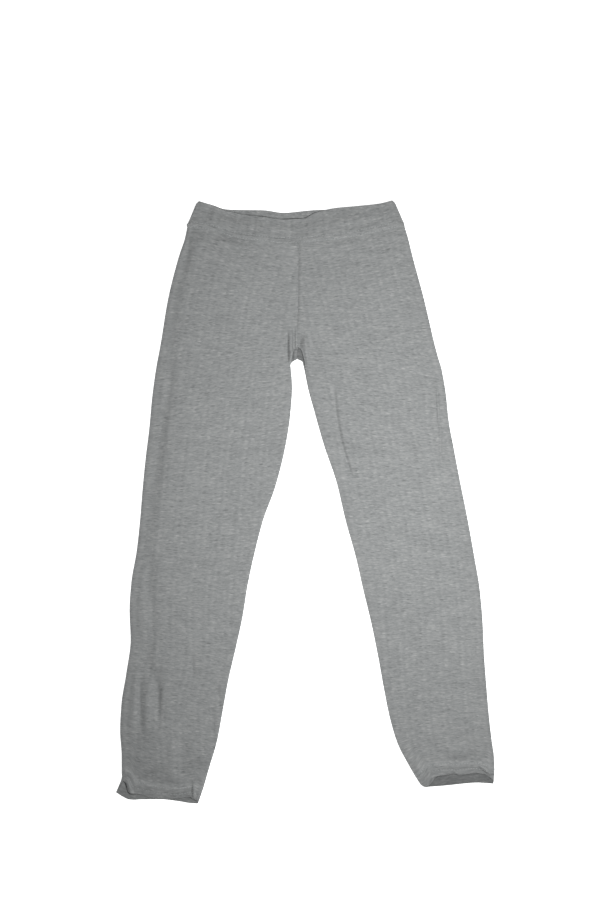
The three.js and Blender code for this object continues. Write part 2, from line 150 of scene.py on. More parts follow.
# Folds of the front layers. A row is the x and y where the fold starts, the x and y where it
# ends, how far its line bends aside in the middle, its half width, and its height above the
# calm cloth, or below it where it is negative.
LARGE_FOLDS = (
    (-162, 110, -181, -118, 0, 8, -0.6),
    (-164, 172, -166, 112, 0, 5, 1.1),
    (-182, -52, -188, -120, 0, 6, 1.0),
    (-186, -104, -184, -168, 0, 8, 1.5),
    (-196, -162, -199, -204, 0, 5, 0.9),
    (-193, -190, -199, -272, 0, 5, 1.8),
    (-190, -200, -189, -262, 0, 4, -1.5),
    (-180, -192, -182, -276, 0, 5.5, 1.6),
    (-168, -186, -169, -250, 0, 5, -1.8),
    (-152, -262, -153, -326, 0, 6, 1.4),
    (-140, -270, -142, -318, 0, 7, -1.4),
    (-129, -176, -129, -202, 0, 6, -0.9),
    (-103, -236, -110, -268, 0, 6, -1.1),
    (-130, -272, -116, -300, 0, 8, 0.9),
    (-196, -324, -158, -304, 0, 5, -1.0),
    (-21, 226, -18, 150, 0, 6, 1.8),
    (-9, 216, -9, 150, 0, 8, 2.4),
    (4, 222, 2, 160, 0, 6, 1.0),
    (33, 148, 57, 18, 5, 5, -0.5),
    (43, 152, 68, 14, 5, 8, 1.0),
    (149, 150, 153, 80, 0, 7, 0.9),
    (155, 96, 158, 36, 0, 7, 0.8),
    (96, 58, 122, -104, 0, 34, 1.6),
    (98, -130, 122, -262, 0, 16, 0.9),
    (178, -110, 178, -128, 0, 5, -0.7),
    (186, -20, 190, -150, 0, 8, -1.2),
    (198, -190, 204, -270, 0, 8, -0.8),
    (174, -268, 186, -276, 0, 5, -1.0),
    (120, -292, 134, -318, 0, 7, 2.2),
    (160, -284, 186, -290, 0, 7, 1.4),
    (150, -326, 216, -322, 0, 24, -1.3),
    (-206, -338, -150, -338, 0, 26, -1.4),
    (-134, 300, -139, 262, 0, 5, -1.3),
    (86, 296, 96, 290, 0, 5, -0.8),
    (-122, 280, -60, 276, 0, 9, 0.9),
)
FINE_FOLDS = (
    (-20.4, 196, -20.0, 161, 0.5, 1.5, -3.4),
    (-15.6, 194, -15.8, 154, 0, 2.3, 2.4),
    (-12.2, 200, -13.4, 172, 0, 2.2, -3.6),
    (-10.2, 200, -10.6, 178, 0, 1.6, 1.6),
    (-8.0, 194, -5.6, 176, 0, 2.4, -3.0),
    (-15, 189, 0, 187.5, 0, 3.4, -2.0),
    (-24.5, 184, -18.5, 158, 2, 1.8, -1.0),
    (-1.0, 196, 3.8, 148, 0, 3.0, 2.6),
    (33.2, 134, 56.2, 24, 5.2, 1.6, -2.0),
    (37.4, 130, 60.4, 24, 5.2, 2.8, 0.9),
    (56, 27.6, 78, 26.5, 0, 1.8, -0.5),
    (151.2, 134, 154.0, 84, 0, 1.7, -2.2),
    (156, 92, 156.8, 40, 1.0, 1.7, -1.8),
    (147.4, 136, 150.0, 80, 0, 3.2, 0.8),
    (-190.8, -206, -190.4, -252, 0, 2.0, -1.1),
    (-169.0, -206, -167.6, -262, 0, 3.0, -1.0),
    (-129.8, -175, -129, -201, 0, 1.6, -1.1),
    (-99.6, -202, -98, -242, 0.8, 1.8, -1.0),
    (-106.6, -241, -106, -268, 0, 1.8, -1.1),
    (-196, -324, -168, -304, 1.2, 1.7, -1.5),
    (-176, -311, -158, -300, 0, 2.2, 0.8),
    (-179.6, -329, -179.4, -343, 0, 1.4, -1.4),
    (-130.4, -320, -132.2, -341, 0, 1.4, -2.6),
    (-127.2, -324, -127.6, -342, 0, 2.2, 2.0),
    (-205, -318, -198, -339, 0, 3.0, 3.0),
    (142.4, -309, 142.6, -325, 0, 1.4, -2.0),
    (136.0, -303, 134, -329, 0, 4.5, 2.6),
    (145, -316, 171, -309, 0, 2.2, 0.9),
    (180, -313, 200, -309, 0, 2.2, 0.9),
    (151.5, -309, 162, -310, 0, 1.6, -1.4),
    (145, -303, 152.5, -306, 0, 1.5, -1.4),
    (176, -308.5, 185.5, -306.5, 0, 1.5, -1.4),
    (199.0, -307.4, 215.0, -322.0, 0, 2.4, -3.4),
    (199.4, -301.0, 213.6, -313.4, 0, 2.2, 3.6),
    (203.0, -296.0, 215.5, -307.0, 0, 5.5, 1.4),
)

# Down the wearer's right leg the outer side is pressed low, and the cloth steps up to the
# loft of the leg some way in. Inset is from the side edge to the middle of the step.
STEP_COLUMNS = ("y", "inset", "rise", "half_width")
SIDE_STEP = (
    (318, 12, 0.8, 5),
    (278, 12, 2.3, 5),
    (241, 14, 2.0, 5.5),
    (201, 14, 2.0, 5.5),
    (165, 19, 2.2, 6),
    (138, 23, 2.6, 6),
    (94, 20, 3.0, 6.5),
    (48, 19, 3.2, 7),
    (2, 16, 3.2, 7.5),
    (-44, 15, 3.0, 8),
    (-90, 24, 2.8, 7),
    (-136, 29, 2.6, 7),
    (-176, 26, 2.8, 5.5),
    (-205, 36, 2.6, 5),
    (-228, 42, 2.6, 6),
    (-262, 28, 4.6, 18),
    (-295, 25, 5.0, 20),
    (-334, 24, 1.0, 14),
)

# Waistband edges across its width, from the wearer's right (0) to the left (1).
BAND_COLUMNS = ("across", "front_top", "front_bottom", "back_top", "back_bottom")
BAND_EDGES = (
    (0.0, 345.6, 318.6, 345.6, 318.6),
    (0.07, 340.8, 316.2, 341.4, 315.3),
    (0.14, 334.6, 312.0, 336.4, 312.5),
    (0.22, 331.0, 306.2, 335.7, 310.0),
    (0.33, 327.8, 302.6, 335.4, 307.4),
    (0.44, 324.7, 300.4, 332.4, 306.0),
    (0.54, 326.0, 300.6, 334.4, 305.8),
    (0.6, 332.2, 302.2, 335.6, 306.2),
    (0.7, 337.6, 304.6, 336.4, 307.6),
    (0.82, 340.2, 309.8, 338.9, 311.4),
    (0.93, 342.8, 315.6, 341.8, 316.2),
    (1.0, 346.4, 319.5, 346.4, 319.5),
)
BAND_TOP_X = (-125.0, 103.2)
BAND_BOTTOM_X = (-135.6, 114.2)
BAND_CORNER_DROP = 2.4
BAND_SIDE_HOLLOW = 0.5  # how far its side edges bend in
BAND_AIR = 0.6  # between its front and its back
SEAM_WALL = 0.62  # share of the casing's wall at its seam
SEAM_WALL_SHARE = 0.3  # share of its height over which the wall becomes full
CASING_HEIGHT = 28  # along which the cloth's coordinate runs
CASING_HALF_WALL = 1.4
CASING_START = 0.02  # shares of the casing's height where its faces start,
CASING_FLAT = 0.955  # where they end,
CASING_ROUND = 0.045  # and that its rounded top takes
CASING_LOW_OUT = 0.6  # how far out the narrower lower edge reaches, in half walls

# The casing's front settles on the back towards its top edge, and thins, all in shares of
# its height, its width or its wall. In two places it gapes a little.
SETTLE_FROM = 0.36
SETTLE_OVER = 0.5
SETTLE_DROP = 1.2
SIDE_SHARE = 0.06  # of the width, next to each side fold, where it can't settle
TOP_WALL = 0.22  # the front's outer half
TOP_WALL_UNDER = 0.4  # its inner half
TOP_WALL_BACK = 0.6  # the back's inner half
GAPE_WALL = 0.4  # the front's outer half where it gapes
GAPE_SHARE = 0.3  # how much less it settles there
GAPE_WIDTH = 10
BAND_GAPES = (-46, -15)  # x of the two places

# Gathers of the casing, whose place and width are shares of its own width. Their height
# grows above the seam and falls off to the top edge.
SWELL_LOW = 0.25
SWELL_HIGH = 0.1
SWELL_AT_TOP = 0.4
GATHER_COLUMNS = ("across", "width", "height")
GATHERS = (
    (0.1, 0.03, 0.5),
    (0.27, 0.03, 0.5),
    (0.56, 0.025, 0.5),
    (0.74, 0.03, 0.5),
    (0.92, 0.03, 0.4),
    (0.035, 0.008, 0.25),
    (0.062, 0.007, -0.3),
    (0.088, 0.007, 0.3),
    (0.118, 0.008, -0.35),
    (0.147, 0.006, 0.3),
    (0.171, 0.008, -0.3),
    (0.205, 0.007, 0.25),
    (0.236, 0.007, -0.35),
    (0.262, 0.008, 0.3),
    (0.297, 0.008, -0.3),
    (0.333, 0.007, 0.3),
    (0.358, 0.006, -0.35),
    (0.387, 0.008, 0.25),
    (0.42, 0.008, -0.3),
    (0.452, 0.007, 0.3),
    (0.478, 0.006, -0.3),
    (0.508, 0.009, 0.2),
    (0.545, 0.008, -0.3),
    (0.577, 0.007, 0.3),
    (0.612, 0.008, -0.35),
    (0.641, 0.006, 0.25),
    (0.668, 0.007, -0.3),
    (0.703, 0.009, 0.3),
    (0.736, 0.007, -0.3),
    (0.766, 0.007, 0.25),
    (0.801, 0.008, -0.35),
    (0.828, 0.006, 0.3),
    (0.859, 0.008, -0.3),
    (0.892, 0.008, 0.25),
    (0.925, 0.007, -0.3),
    (0.957, 0.007, 0.25),
)

# Folds round the waist seam, which run over from the casing to the legs.
WAIST_FOLDS = (
    (-104, 300, -66, 291, 0, 5.5, 1.6),
    (-106, 315, -66, 306, 0, 4.5, -1.7),
    (-104, 322, -68, 317, 0, 4, 0.7),
    (-102, 332, -70, 325, 0, 4, -0.7),
    (-40, 297, -7, 294, 0, 5, 1.7),
    (-40, 309, -8, 306, 0, 4.5, -1.4),
    (-34, 302.5, -6, 300.5, 0, 3.2, -1.5),
    (-66, 300, -36, 298, 0, 5, 0.8),
    (-133, 299, -114, 296, 0, 5, 1.1),
    (-132, 313, -114, 310, 0, 4, -0.9),
    (32, 322, 58, 324, 0, 4.5, 1.1),
    (32, 337, 60, 337, 0, 4, -0.8),
    (54, 340, 68, 322, 0, 4, 0.5),
    (-130, 337, -108, 346, 0, 6, 1.2),
    (-4, 296, 32, 300, 0, 5, 0.6),
    (34, 293, 62, 300, 0, 6, 0.7),
    (36, 304, 60, 309, 0, 4, -0.6),
    (-54, 327.4, -38, 326, 0, 3, 0.9),
    (-28, 324.2, -4, 324.6, 0, 3, 1.1),
)

# The back's cloth where it shows at the crotch
FLAP_FOLDS = (
    (-11.8, 176, -12.4, 154, 0, 1.7, 2.4),
    (-8.4, 176, -8.0, 154, 0, 2.6, 2.0),
)

# How the layers lie, as in the solids
SEAM_TUCK = 1.0  # how far each leg runs under the casing
LAYER_GAP = 0.3
LOFT_SHAPE = 0.5  # power of the sine that the loft follows across a leg
CENTRE_STOP = 0.6  # how far a flat layer stops short of the centre seam
WAIST_FADE = 75  # length over which the front comes down from the casing
SEAM_FADE = 135  # length over which the sections leave the waist seam's curve
RISE_FADE = 60  # and over which they take up the hem's
EDGE_CALM = 14  # length over which the large folds grow from the side edge
FINE_CALM = 2.5  # and the fine folds
INNER_START = 0.35  # how far on the large folds are at the inseam
FOLD_START = 26  # length over which they grow from the waist
LOOSE_WAVES = ((0.28, 1.0, 42, 3), (0.12, 0.6, 15, 5))  # height, stretch, spacing and seed

# The turned hem
HEM_START = 0.12  # rows above the hem where the wall starts to double
HEM_BLEND = 0.35  # and the rows that it takes
HEM_LOFT = 0.5
HEM_CURL = 0.5  # how far its front stands up
HEM_ROLL = 1.9  # how far the front's edge rolls down
HEM_ROLL_REACH = 9
EDGE_WALL = 0.68  # share of the wall at the edge
EDGE_THIN = 5  # length over which it thins
EDGE_LEAST = 0.02  # keeps the rounded edge from closing to a line
CORNER = {"right": 0.8, "left": 4.0}  # rounding of each hem at its inseam
HEM_STITCHES = (6, 12)  # how far above the edge the grooves of its rows lie
HEM_STITCH_DEPTH = 0.3
STITCH_WIDTH = 1.0  # half width of the groove under a row of stitches

# Relief of the centre seam: height, distance from the seam and half width
CENTRE_GROOVE = (-0.9, 0.5, 1.2)
CENTRE_RIDGE = (0.5, 3.4, 1.9)

# Relief of the waist seam. A bell is its distance above the seam and its half width, and a
# net is the spacing and the seed of an unevenness.
SEAM_RIDGE = (1.4, 3.5)
SEAM_RIDGE_HEIGHT = 1.1
SEAM_STITCHES = ((3, STITCH_WIDTH), (-3, STITCH_WIDTH))
SEAM_STITCH_DEPTH = 0.45
SEAM_STITCH_NET = (9, 17)
SEAM_STITCH_UNEVEN = 0.8
SEAM_HOLLOWS = ((-6.0, 3.0), (9.5, 3.4))
SEAM_HOLLOW_DEPTH = 0.4
PUCKER_HEIGHT = 0.4
PUCKER_REACH = 8
PUCKER_STRETCH = 0.16
PUCKER_NET = (5.5, 11)
RIGHT_FROM = -30  # x from which the relief grows towards the wearer's right
RIGHT_OVER = 40
RIGHT_MORE = 0.5
NET_SIZE = 256  # of the random values in a net
NET_SHIFT = 100  # keeps places in it positive

# Marl, all in millimetres: length, height, detail and place in the noise of each streak,
# and length, height, place and weight of the flecks
LONG_STREAKS = (6.0, 1.6, 1.0, 1.3)
SHORT_STREAKS = (2.6, 1.1, 1.0, 5.1)
PATCHES = (26, 13, 2.0, 9.4)
SHORT_SHARE = 0.4
PATCH_SHARE = 0.2
FLECKS = ((9.0, 2.4, 2.9, 0.42), (6.4, 2.0, 6.7, 0.34))
KNIT_LOOP = (1.1, 0.85)  # across and down, not quite even
REVERSE_PAINTED_SHADE = {"right": 0.85, "left": 0.61}  # painted shade on each leg's inner face, darker on the left, standing in for the hem's inside, which lies in shadow; the crotch's flap and the ear take it too
MARL_PLACES = {"right": -3.0, "left": 3.0, "casing": 21, "casing_inside": 27}  # in the noise
REVERSE_PLACE = 11  # on from the outside's place

# Sewing
STITCH_SIDES = 6
STITCH_COVER = 0.82  # share of each stitch that the thread covers
STITCH_HEIGHT = 0.38
STITCH_LIFT = 0.1  # above the cloth
THREAD_TWIST = 1.5
CASING_ROW = (0.01, 0.99, 240)  # from, to and points of each row, across its piece
LEG_ROW = (0.01, 0.995, 160)
HEM_ROW = (0.03, 0.97, 140)

# Mesh density
ROWS_PER_SECTION = 11
CLOSE_ROWS = {0: 22, 4: 14, 5: 14, 6: 8, 7: 8}
HEM_ROWS = 18
HEM_LAST = 0.1  # of a section, left to the rounded edge
EDGE_ROWS = 5
BACK_COLUMNS = (16, 13)  # next to the inner edge, and over the rest
BACK_SPLIT = 0.9  # share of the back's width where the second ones start
TURN_COLUMNS = 10
FRONT_COLUMNS = 118
FRONT_CROWDING = 0.55  # how much the front's columns crowd towards both its edges
INSEAM_COLUMNS = 5
INSEAM_TURN = 80  # degrees that each layer turns at the inseam
BAND_SECTION_ROWS = 34
BAND_FRONT_COLUMNS = 260
BAND_BACK_COLUMNS = 90
BAND_TURN_COLUMNS = 10
BAND_TOP_ROWS = 9


def linear(hex_colour):
    """Linear RGB of an sRGB hex colour."""
    srgb = np.array([int(hex_colour[k:k + 2], 16) for k in (1, 3, 5)]) / 255
    return tuple(np.where(srgb <= 0.04045, srgb / 12.92, ((srgb + 0.055) / 1.055) ** 2.4))


def length_property(name, description, millimetres):
    """A length, given in millimetres and kept in metres."""
    return FloatProperty(
        name=name, description=description, default=millimetres * MM, unit="LENGTH"
    )


def colour_property(name, description, hex_colour):
    """A colour, given as sRGB hex and kept linear."""
    return FloatVectorProperty(
        name=name, description=description, subtype="COLOR", default=linear(hex_colour),
        size=3, min=0, max=1,
    )


class LeggingsCloth(PropertyGroup):
    """Sizes and colours of the jersey."""

    wall: length_property("Jersey", "Thickness of one layer", 1.2)
    hem_wall: length_property("Hem", "Thickness of the turned hem", 2.4)
    band_wall: length_property("Casing", "Thickness of the waistband", 2.8)
    hem_depth: length_property("Hem depth", "Height of the turned hem", 14)
    loft: length_property("Loft", "Air in the middle of a leg", 2.0)
    marl_dark: colour_property("Dark fibre", "Darkest streaks of the marl", "#767878")
    marl_mid: colour_property("Mid grey", "Ground colour of the marl", "#919393")
    marl_light: colour_property("Light fibre", "Lightest streaks of the marl", "#acadac")


class LeggingsSewing(PropertyGroup):
    """Sizes and colour of the stitching."""

    gauge: length_property("Gauge", "Between the two needles", 6)
    stitch: length_property("Stitch", "Length of one stitch with its gap", 3.2)
    thread: length_property("Thread", "Width of the thread as it shows", 0.9)
    colour: colour_property("Thread colour", "Grey polyester thread", "#adb0b0")


class LeggingsStage(PropertyGroup):
    """The floor, lights and camera."""

    floor: colour_property("Floor", "Colour of the floor", "#f4f4f4")
    glow: FloatProperty(name="Glow", description="Light that the floor gives off", default=1.0)
    key: FloatProperty(name="Key", description="Power of the key light", default=5.4, unit="POWER")
    dome: FloatProperty(name="Dome", description="Strength of the light all round", default=0.18)
    lens: FloatProperty(name="Lens", description="Focal length in millimetres", default=90.0)


def columns(names, rows):
    """The table's columns as arrays, by name."""
    return dict(zip(names, np.array(rows, float).T))


def curve(places, values, at):
    """Monotone cubic through the values at the places.

    Each cell is a Hermite cubic; the slope at a place is the harmonic mean of the two rises
    beside it, or 0 where they differ in sign, so that the curve never overshoots a row.
    """
    spans = np.diff(places)
    rises = np.diff(values) / spans
    product = rises[:-1] * rises[1:]
    total = np.where(product > 0, rises[:-1] + rises[1:], 1)
    slopes = np.concatenate(
        ([rises[0]], np.where(product > 0, 2 * product / total, 0), [rises[-1]])
    )
    x = np.clip(at, places[0], places[-1])
    k = np.clip(np.searchsorted(places, x, side="right") - 1, 0, len(spans) - 1)
    t = (x - places[k]) / spans[k]
    return (
        (2 * t**3 - 3 * t**2 + 1) * values[k]
        + (t**3 - 2 * t**2 + t) * spans[k] * slopes[k]
        + (3 * t**2 - 2 * t**3) * values[k + 1]
        + (t**3 - t**2) * spans[k] * slopes[k + 1]
    )


def lerp(a, b, t):
    """From a to b as t runs from 0 to 1."""
    return a + (b - a) * t


def smooth(t):
    """Rises from 0 to 1 as 3t² - 2t³."""
    t = np.clip(t, 0, 1)
    return t * t * (3 - 2 * t)


def bell(distance, width):
    """Falls from 1 to both sides as exp(-(distance / width)²)."""
    return np.exp(-((distance / width) ** 2))


def stacked(*parts):
    """The parts side by side along a new last axis."""
    return np.stack(np.broadcast_arrays(*parts), axis=-1)


def fold_height(rows, x, y):
    """Sum of the folds at each point.

    A fold is a bell across its line, and 1 - (2t - 1)⁴ along it, which fades at both ends.
    The line bends aside by bow · 4t(1 - t).
    """
    height = np.zeros(np.broadcast(x, y).shape)
    for from_x, from_y, to_x, to_y, bow, width, rise in rows:
        along_x = to_x - from_x
        along_y = to_y - from_y
        length = math.hypot(along_x, along_y)
        t = ((x - from_x) * along_x + (y - from_y) * along_y) / length**2
        aside = ((x - from_x) * along_y - (y - from_y) * along_x) / length
        aside = aside - bow * 4 * t * (1 - t)
        shape = bell(aside, width) * (1 - (2 * t - 1) ** 4)
        height += np.where((t > 0) & (t < 1), rise * shape, 0)
    return height


def unevenness(x, y, spacing, seed):
    """Smooth random height from -1 to 1: random values on a square net, blended by 3t² - 2t³."""
    net = np.random.default_rng(seed).uniform(-1, 1, (NET_SIZE, NET_SIZE))
    u = np.asarray(x) / spacing + NET_SHIFT
    v = np.asarray(y) / spacing + NET_SHIFT
    i = np.floor(u).astype(int)
    j = np.floor(v).astype(int)

    def row(k):
        """Values along one row of the net."""
        k = k % NET_SIZE
        return lerp(net[i % NET_SIZE, k], net[(i + 1) % NET_SIZE, k], smooth(u - i))

    return lerp(row(j), row(j + 1), smooth(v - j))


def waist_seam(x, above):
    """Relief of the waist seam by the distance above it.

    The seam allowance inside is a low ridge along the seam, a groove lies under each row of
    stitches, shallow hollows lie on both sides, and the elastic puckers it all, so that the
    depth comes and goes along the seam.
    """
    right_side = smooth((RIGHT_FROM - x) / RIGHT_OVER)
    place, width = SEAM_RIDGE
    ridge = (SEAM_RIDGE_HEIGHT + RIGHT_MORE * right_side) * bell(above - place, width)
    rows = sum(bell(above - place, width) for place, width in SEAM_STITCHES)
    uneven = SEAM_STITCH_UNEVEN * unevenness(x, 0 * above, *SEAM_STITCH_NET)
    deeper = 1 + uneven + RIGHT_MORE * right_side
    hollow = sum(bell(above - place, width) for place, width in SEAM_HOLLOWS)
    pucker = unevenness(x, above * PUCKER_STRETCH, *PUCKER_NET) * bell(above, PUCKER_REACH)
    grooves = SEAM_STITCH_DEPTH * rows * deeper
    return ridge - grooves - SEAM_HOLLOW_DEPTH * hollow + PUCKER_HEIGHT * pucker


BAND = columns(BAND_COLUMNS, BAND_EDGES)


def band_edge(name, across):
    """y of one of the waistband's edges."""
    return curve(BAND["across"], BAND[name], across)


class LegCut:
    """One leg as it lies: its sections, its hem, and the side towards which its fold lies."""

    def __init__(self, sections, hem, side, corner, cloth):
        self.rows = columns(SECTION_COLUMNS, sections)
        self.places = np.arange(len(sections), dtype=float)
        self.hem = columns(HEM_COLUMNS, hem)
        self.side = side
        self.corner = corner
        self.last = len(sections) - 1
        self.hem_top = self.last - 1
        self.waist_y = self.rows["outer_y"][0]
        self.hem_y = self.rows["outer_y"][-1]
        self.wall = cloth.wall / MM
        self.hem_wall = cloth.hem_wall / MM
        self.band_wall = cloth.band_wall / MM
        self.hem_depth = cloth.hem_depth / MM
        self.loft = cloth.loft / MM

    def section(self, name, at):
        """One of the sections' columns at a row, which need not be whole."""
        return curve(self.places, self.rows[name], at)

    def hem_at(self, name, across):
        """One of the hem's columns across the leg."""
        return curve(self.hem["across"], self.hem[name], across)

    def to_edge(self, at):
        """Distance to the hem's edge."""
        return (self.last - at) * self.hem_depth

    def full_wall(self, at):
        """One layer above the hem, and two in it."""
        return lerp(self.wall, self.hem_wall, smooth((at - self.hem_top + HEM_START) / HEM_BLEND))

    def wall_at(self, at):
        """The full wall, thinned near the hem's edge and rounded off there as a half circle."""
        to_edge = self.to_edge(at)
        half = self.hem_wall / 2
        rounded = np.sqrt(np.clip(1 - (1 - np.clip(to_edge / half, 0, 1)) ** 2, EDGE_LEAST, 1))
        return self.full_wall(at) * rounded * lerp(EDGE_WALL, 1.0, smooth(to_edge / EDGE_THIN))

    def lift_at(self, at, across):
        """Between the middles of the two layers, before the folds."""
        y = self.section("outer_y", at)
        near_hem = smooth(1 - (y - self.hem_y) / (2 * self.hem_depth))
        loft = lerp(self.loft, HEM_LOFT, near_hem) * np.sin(np.pi * across) ** LOFT_SHAPE
        calm = self.full_wall(at) + 2 * LAYER_GAP + loft
        down = smooth((self.waist_y - y) / WAIST_FADE)
        lift = self.band_wall + BAND_AIR + (self.band_wall - self.wall) / 2
        return lerp(lift, calm, down) + HEM_CURL * near_hem

    def beside_centre(self, x, y):
        """x, kept on the leg's own side of the centre seam."""
        limit = centre_x(y)
        return np.maximum(x, limit) if self.side > 0 else np.minimum(x, limit)

    def lay(self, at, layer, across, turn_in=0.0):
        """Points of the cloth's middle: layer is -1 for the back and +1 for the front.

        x runs from the fold towards the inner edge along the slanting section, and stops short
        of it by turn_in. The fold takes up turn, which is half the height between the outer
        faces. z is half a wall for the back, plus the folds that show at the crotch. For the
        front it is half a wall plus the lift and the relief, less the roll of the hem's edge,
        and it never sinks into the back.
        """
        side = self.side
        wall = self.full_wall(at)
        edge_wall = self.wall_at(at)
        outer_x = self.section("outer_x", at)
        outer_y = self.section("outer_y", at)
        reach = self.section("reach", at) if layer < 0 else 0
        to_edge = self.to_edge(at)
        roll = HEM_ROLL * smooth(1 - to_edge / HEM_ROLL_REACH)
        low = edge_wall + LAYER_GAP
        turn = (np.maximum(self.lift_at(at, 0) - roll, low) + edge_wall) / 2
        cut_off = self.corner * (1 - np.sqrt(1 - np.clip(1 - to_edge / self.corner, 0, 1) ** 2))
        width = side * (outer_x - self.section("inner_x", at)) + reach - cut_off
        inward = lerp(turn, width - turn_in, across)
        x = outer_x - side * inward
        y = lerp(outer_y, self.section("inner_y", at), inward / width)

        edge = "front_bottom" if layer > 0 else "back_bottom"
        seam = band_edge(edge, across_band(x, self.band_wall))
        straight = lerp(self.rows["outer_y"][0], self.rows["inner_y"][0], inward / width)
        follow = np.clip(1 - (self.waist_y - outer_y) / SEAM_FADE, 0, 1) ** 2
        y = y + (seam + SEAM_TUCK - straight) * follow

        fade = 1 - smooth((outer_y - self.hem_y - self.hem_depth) / RISE_FADE)
        if layer > 0:
            y = y + fade * self.hem_at("front_rise", across)
            x = x - side * self.hem_at("drawn_in", across) * np.clip(at - self.hem_top, 0, 1)
        else:
            y = y - fade * self.hem_at("back_drop", across)
        x = self.beside_centre(x, y)

        if layer < 0:
            z = wall / 2 + fold_height(FLAP_FOLDS, x, y)
        else:
            lift = self.lift_at(at, across) + self.relief(x, y, at, inward, width) - roll
            z = wall / 2 + np.maximum(lift, low)
        return stacked(x, y, z)

    def relief(self, x, y, at, inward, width):
        """Folds, unevenness, puckers below the waist seam, grooves of the seams and stitches."""
        below = self.waist_y - self.section("outer_y", at)
        to_inner = width - inward
        open_leg = smooth((at - CROTCH_ROW) / CALM_ROWS)
        inner_calm = lerp(1, smooth(to_inner / EDGE_CALM + INNER_START), open_leg)
        calm = smooth(inward / EDGE_CALM) * inner_calm
        started = smooth(below / FOLD_START)
        large = fold_height(LARGE_FOLDS, x, y) * calm * started
        fine = fold_height(FINE_FOLDS, x, y) * smooth(inward / FINE_CALM)
        step = self.side_step(y, inward, width) * started if self.side < 0 else 0
        loose = sum(
            height * unevenness(x, y * stretch, spacing, seed)
            for height, stretch, spacing, seed in LOOSE_WAVES
        )
        seam = waist_seam(x, SEAM_TUCK - below) + fold_height(WAIST_FOLDS, x, y)
        above_split = smooth((SPLIT_ROW - at) / CENTRE_FADE)
        height, place, half = CENTRE_GROOVE
        groove = height * bell(to_inner + place * self.side, half) * above_split
        height, place, half = CENTRE_RIDGE
        ridge = height * bell(to_inner - place, half) * above_split * (self.side > 0)
        rows = sum(bell(self.to_edge(at) - place, STITCH_WIDTH) for place in HEM_STITCHES)
        folds = large + fine + step + loose * calm
        return folds + seam + groove + ridge - HEM_STITCH_DEPTH * rows

    def side_step(self, y, inward, width):
        """Rises by 3t² - 2t³ across the step, and falls off evenly towards the inner edge."""
        rows = {name: column[::-1] for name, column in columns(STEP_COLUMNS, SIDE_STEP).items()}
        inset = curve(rows["y"], rows["inset"], y)
        rise = curve(rows["y"], rows["rise"], y)
        half = curve(rows["y"], rows["half_width"], y)
        up = smooth((inward - inset + half) / (2 * half))
        return rise * up * (1 - smooth((inward - inset - half) / (width - inset - half)))


def across_band(x, band_wall):
    """How far across the waistband's lower edge a point lies."""
    turn = band_wall + BAND_AIR / 2
    start = BAND_BOTTOM_X[0] + turn
    end = BAND_BOTTOM_X[1] - turn
    return np.clip((x - start) / (end - start), 0, 1)


def centre_x(y):
    """x of the centre seam."""
    t = np.clip((CENTRE_TOP[1] - y) / (CENTRE_TOP[1] - CENTRE_CROTCH[1]), 0, 1)
    return lerp(CENTRE_TOP[0], CENTRE_CROTCH[0], t)


